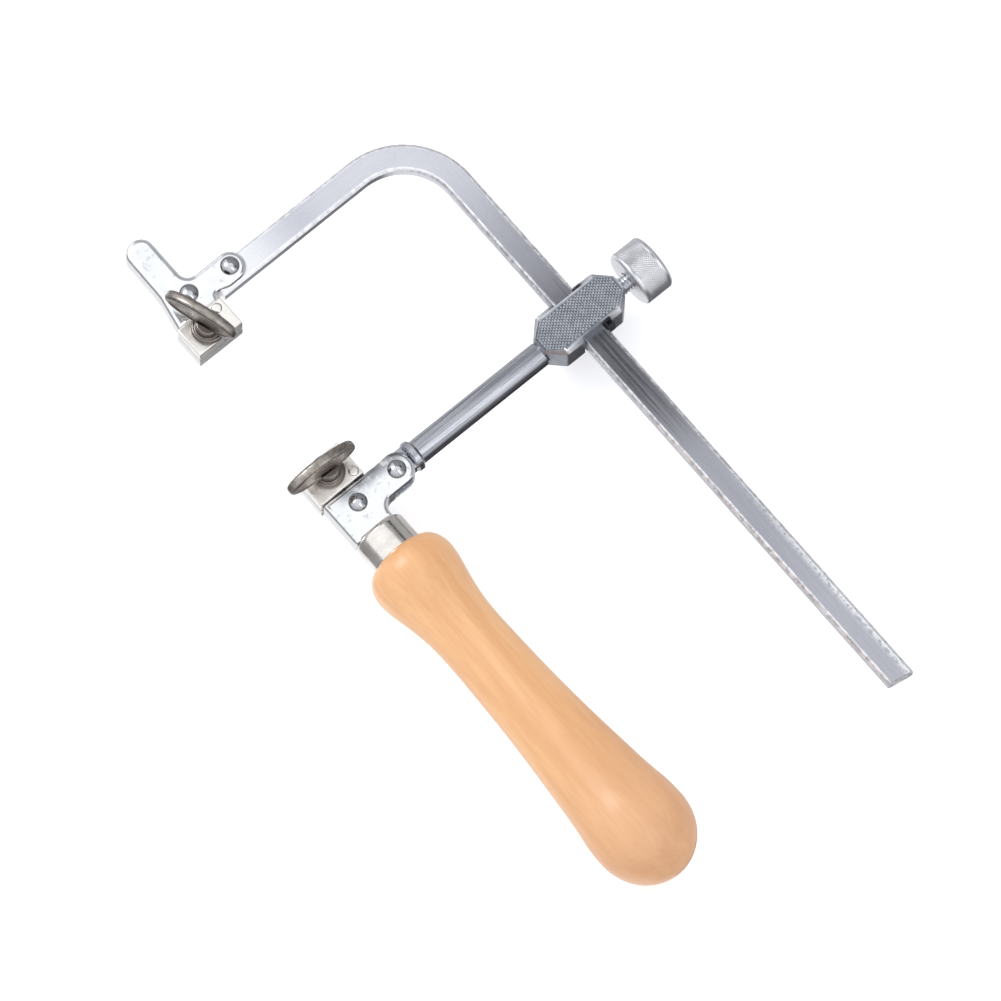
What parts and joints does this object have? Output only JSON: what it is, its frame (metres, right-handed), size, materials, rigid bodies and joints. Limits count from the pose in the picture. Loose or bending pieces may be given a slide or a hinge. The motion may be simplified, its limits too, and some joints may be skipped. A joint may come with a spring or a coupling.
{
  "type": "jeweler saw frame",
  "caption": "Adjustable jeweler's saw frame: bent flat bar sliding in a clamped block, screw jaws for the blade ends, round rod and a turned wooden handle.",
  "frame": {"origin": "on the handle's axis, in the plane where the ferrule meets the wood", "axes": "+X along the handle towards its domed end, +Y across the frame towards the long bar, +Z square to the frame on the thumb screws' side"},
  "size_m": [0.2169, 0.1146, 0.031],
  "materials": {
    "bar_steel": "satin plated flat bar with fine lengthwise scratches",
    "clamp_plate": "bright zinc plate, lightly worn at the edges",
    "clamp_core": "plated steel seen on edge",
    "rivet_head": "polished domed rivet heads",
    "jaw_nickel": "nickel plate with a warm tone",
    "thumb_nickel": "nickel plate with a warm tone, slightly dull",
    "rod_steel": "polished round steel",
    "block_steel": "knurled faces, bright chamfers",
    "knob_steel": "fine knurl, satin plate",
    "shoe_steel": "dark spring steel",
    "ferrule_nickel": "nickel plated, drawn",
    "handle_wood": "satin lacquered light hardwood"
  },
  "bodies": {
    "handle_frame": {"handle": "handle_wood", "ferrule": "ferrule_nickel", "lower_clamp_core": "clamp_core", "lower_front_plate": "clamp_plate", "lower_back_plate": "clamp_plate", "lower_rivets": "rivet_head", "lower_guide_pin": "jaw_nickel", "cross_rod": "rod_steel", "slide_block": "block_steel"},
    "bar_frame": {"frame_bar": "bar_steel", "upper_clamp_core": "clamp_core", "upper_front_plate": "clamp_plate", "upper_back_plate": "clamp_plate", "upper_rivets": "rivet_head", "upper_guide_pin": "jaw_nickel"},
    "upper_jaw": {"upper_moving_jaw": "jaw_nickel"},
    "upper_screw": {"upper_thumb_screw": "thumb_nickel", "upper_thumb_wing": "thumb_nickel"},
    "lower_jaw": {"lower_moving_jaw": "jaw_nickel"},
    "lower_screw": {"lower_thumb_screw": "thumb_nickel", "lower_thumb_wing": "thumb_nickel"},
    "shoe": {"pressure_shoe": "shoe_steel"},
    "clamp": {"clamp_screw": "knob_steel", "clamp_knob": "knob_steel"}
  },
  "joints": [
    {"name": "bar_slide", "type": "slide", "parent": "handle_frame", "child": "bar_frame", "axis": [1, 0, 0], "range_m": [-0.11, 0.02]},
    {"name": "upper_jaw_slide", "type": "slide", "parent": "bar_frame", "child": "upper_jaw", "axis": [0, 0, 1], "range_m": [-0.00036, 0.00141]},
    {"name": "upper_screw_turn", "type": "hinge", "parent": "upper_jaw", "child": "upper_screw", "pos_m": [-0.0764, 0.0011, 0], "axis": [0, 0, 1], "range_deg": [-180, 720]},
    {"name": "lower_jaw_slide", "type": "slide", "parent": "handle_frame", "child": "lower_jaw", "axis": [0, 0, 1], "range_m": [-0.00036, 0.00141]},
    {"name": "lower_screw_turn", "type": "hinge", "parent": "lower_jaw", "child": "lower_screw", "pos_m": [-0.0274, -0.0004, 0], "axis": [0, 0, 1], "range_deg": [-180, 720]},
    {"name": "shoe_slide", "type": "slide", "parent": "handle_frame", "child": "shoe", "axis": [0, 1, 0], "range_m": [0, 0.00081]},
    {"name": "clamp_turn", "type": "hinge", "parent": "shoe", "child": "clamp", "pos_m": [-0.0185, 0.0916, 0], "axis": [0, 1, 0], "range_deg": [0, 360]}
  ],
  "couplings": [
    {"joint": "upper_jaw_slide", "follows": "upper_screw_turn", "m_per_rad": 0.00011141},
    {"joint": "lower_jaw_slide", "follows": "lower_screw_turn", "m_per_rad": 0.00011141},
    {"joint": "shoe_slide", "follows": "clamp_turn", "m_per_rad": 0.00012732}
  ]
}
